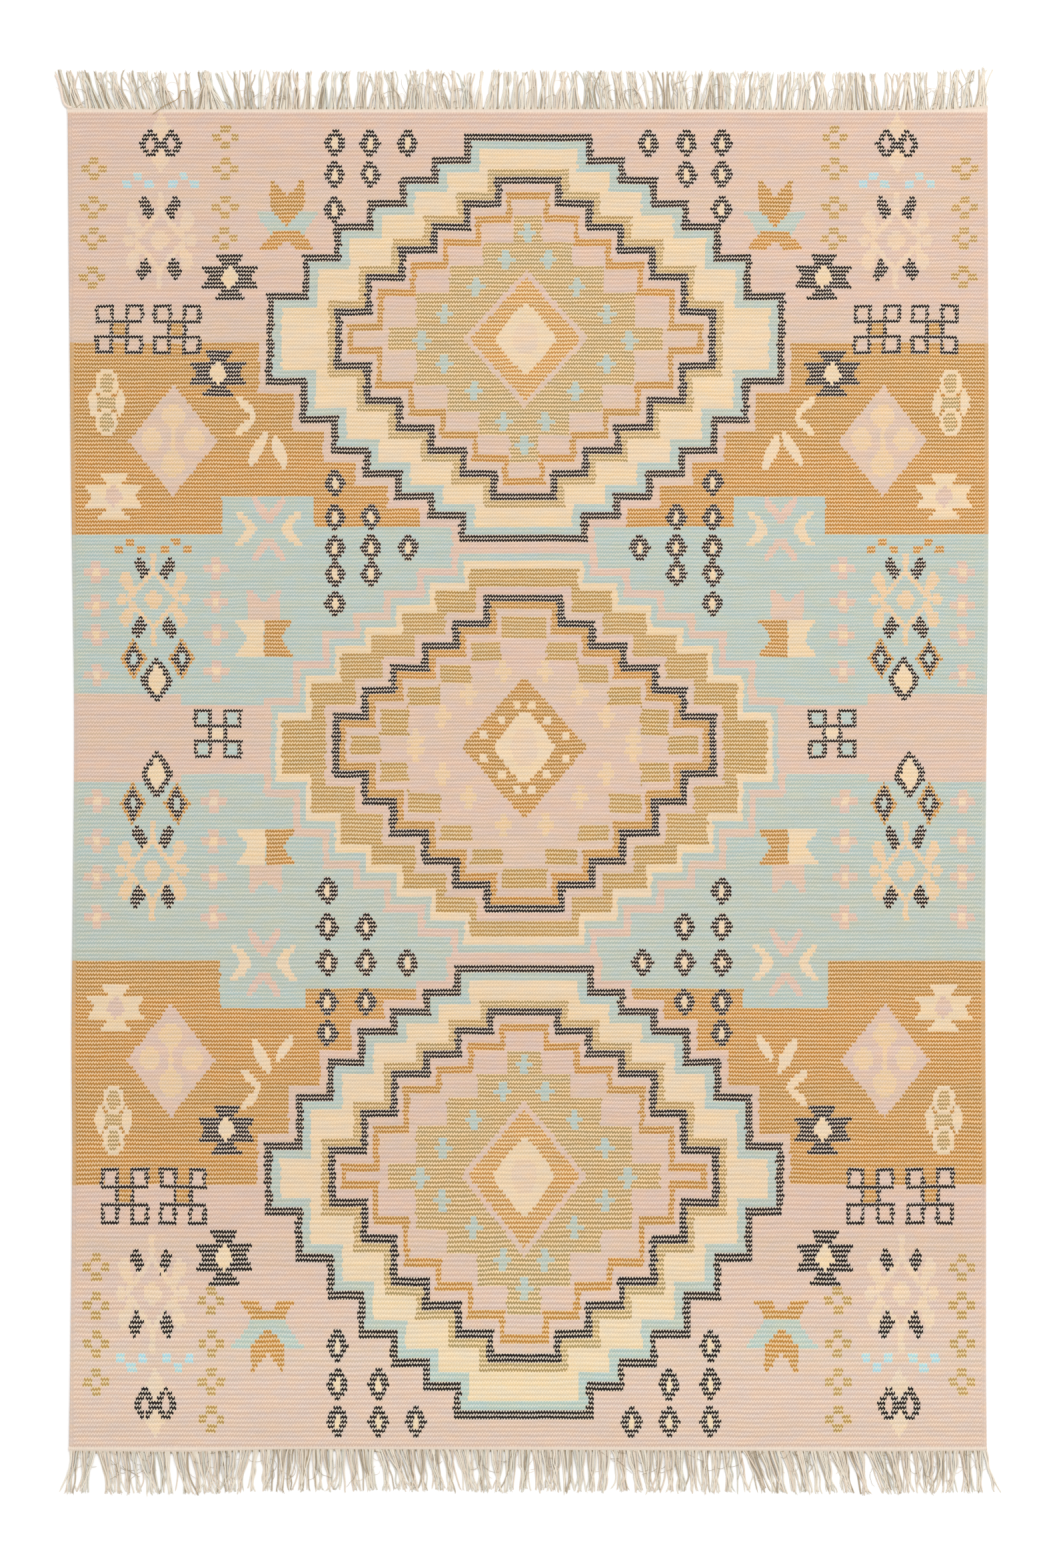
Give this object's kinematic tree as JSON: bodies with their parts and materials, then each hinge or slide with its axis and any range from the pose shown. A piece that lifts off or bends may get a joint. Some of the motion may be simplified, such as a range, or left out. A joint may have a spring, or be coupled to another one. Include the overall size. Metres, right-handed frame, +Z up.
{
  "type": "handwoven flat rug",
  "caption": "Rectangular flat-woven rug with low weft ribs, lying flat, with a heading strip and a gathered yarn fringe at each short end.",
  "frame": {"origin": "on the floor, at the middle of the woven cloth's underside, half way between the two heading edges", "axes": "+X across the rug to the right, +Y along the rug to its head end, +Z up from the floor"},
  "size_m": [1.3518, 2.0745, 0.006],
  "materials": {
    "woven_wool": "matt wool weft in rows",
    "warp_cotton": "matt plied cotton"
  },
  "bodies": {
    "root": {"woven_field": "woven_wool", "fringe_head": "warp_cotton", "fringe_foot": "warp_cotton"}
  },
  "joints": []
}
